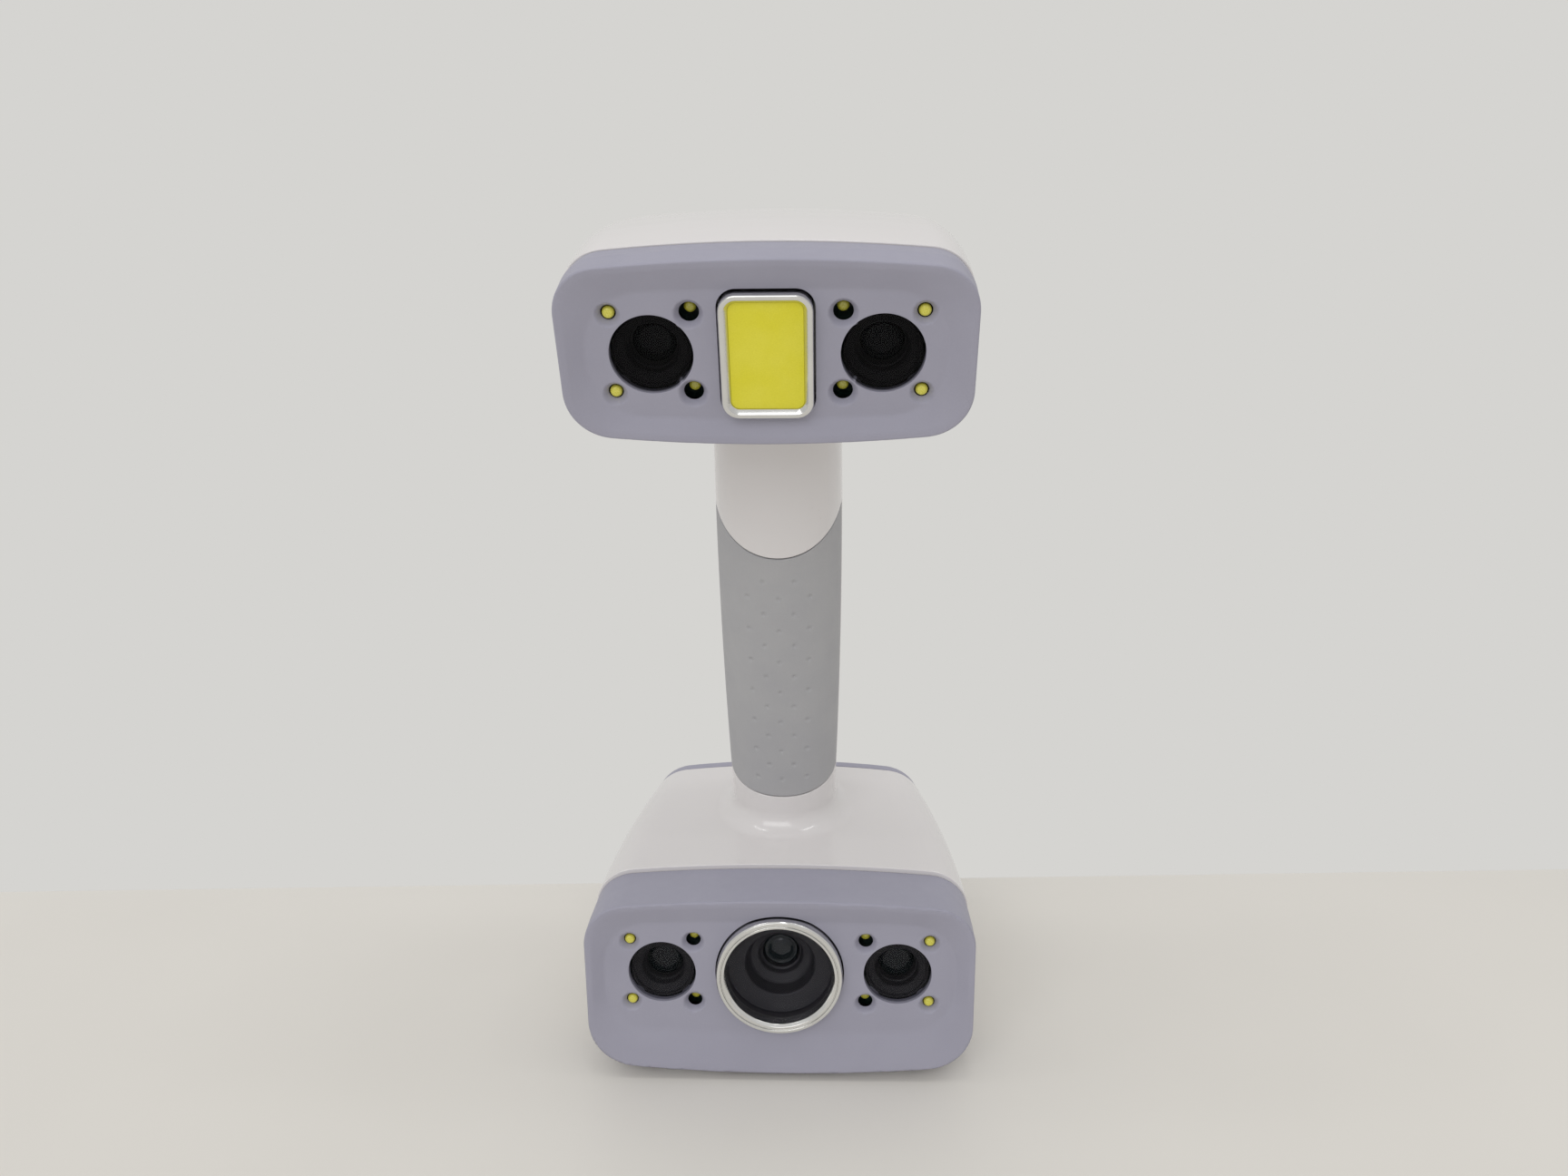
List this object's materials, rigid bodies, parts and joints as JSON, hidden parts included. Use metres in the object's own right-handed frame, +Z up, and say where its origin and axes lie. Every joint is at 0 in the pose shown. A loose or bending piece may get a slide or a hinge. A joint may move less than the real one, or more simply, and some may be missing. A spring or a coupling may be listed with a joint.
{
  "type": "handheld 3D scanner",
  "caption": "Handheld structured-light scanner: two camera heads with a lamp and a projector, joined by a leaning handle with a rubber grip; stands on its feet.",
  "frame": {"origin": "middle of the bounding box in plan, on the surface that the feet rest on", "axes": "+Z up, -Y the way the two heads look, +X to the right for someone facing the lenses"},
  "size_m": [0.108, 0.1128, 0.2367],
  "materials": {
    "lavender_plastic": "fine moulded texture, grey-lavender",
    "white_gloss": "glossy warm white",
    "grip_rubber": "matte light grey",
    "satin_silver": "satin anodised",
    "bare_aluminium": "machined",
    "yellow_phosphor": "phosphor-coated panel",
    "black_plastic": "matte black",
    "dark_glass": "coated optical glass",
    "circuit_board": "solder mask",
    "light_ring": "frosted",
    "steel": "plated"
  },
  "bodies": {
    "root": {"upper_front_bezel": "lavender_plastic", "lower_front_bezel": "lavender_plastic", "upper_rear_cover": "lavender_plastic", "lower_rear_cover": "lavender_plastic", "upper_shell": "white_gloss", "lower_shell": "white_gloss", "handle_rear_shell": "white_gloss", "grip_pad": "grip_rubber", "front_left_foot": "grip_rubber", "front_right_foot": "grip_rubber", "rear_left_foot": "grip_rubber", "rear_right_foot": "grip_rubber", "lamp_frame": "satin_silver", "projector_ring": "satin_silver", "lamp_board": "bare_aluminium", "lamp_heat_sink": "bare_aluminium", "projector_engine": "bare_aluminium", "projector_heat_sink": "bare_aluminium", "handle_spine": "bare_aluminium", "lamp_panel": "yellow_phosphor", "projector_baffle": "black_plastic", "fan_frame": "black_plastic", "cable_socket": "black_plastic", "grip_carrier": "black_plastic", "cable_harness": "black_plastic", "projector_window": "dark_glass", "projector_lens": "dark_glass", "keypad_board": "circuit_board", "main_board": "circuit_board", "status_light_ring": "light_ring", "cover_screw_1": "steel", "cover_screw_2": "steel", "cover_screw_3": "steel", "cover_screw_4": "steel", "upper_left_camera_window": "dark_glass", "upper_left_camera_barrel": "black_plastic", "upper_left_sensor_board": "circuit_board", "upper_left_led_board": "circuit_board", "upper_right_camera_window": "dark_glass", "upper_right_camera_barrel": "black_plastic", "upper_right_sensor_board": "circuit_board", "upper_right_led_board": "circuit_board", "lower_left_camera_window": "dark_glass", "lower_left_camera_barrel": "black_plastic", "lower_left_sensor_board": "circuit_board", "lower_left_led_board": "circuit_board", "lower_right_camera_window": "dark_glass", "lower_right_camera_barrel": "black_plastic", "lower_right_sensor_board": "circuit_board", "lower_right_led_board": "circuit_board"},
    "scan_button": {"scan_button": "white_gloss"},
    "plus_button": {"plus_button": "white_gloss"},
    "minus_button": {"minus_button": "white_gloss"},
    "fan_rotor": {"fan_rotor": "black_plastic"}
  },
  "joints": [
    {"name": "scan_press", "type": "slide", "parent": "root", "child": "scan_button", "axis": [0, -0.9573, -0.289], "range_m": [0, 0.0008], "stiffness_N_per_m": 900},
    {"name": "plus_press", "type": "slide", "parent": "root", "child": "plus_button", "axis": [0, -0.9573, -0.289], "range_m": [0, 0.0008], "stiffness_N_per_m": 900},
    {"name": "minus_press", "type": "slide", "parent": "root", "child": "minus_button", "axis": [0, -0.9573, -0.289], "range_m": [0, 0.0008], "stiffness_N_per_m": 900},
    {"name": "fan_spin", "type": "hinge", "parent": "root", "child": "fan_rotor", "pos_m": [0.006, 0.04213, 0.0269], "axis": [0, -0.9987, 0.0501], "continuous": true}
  ]
}
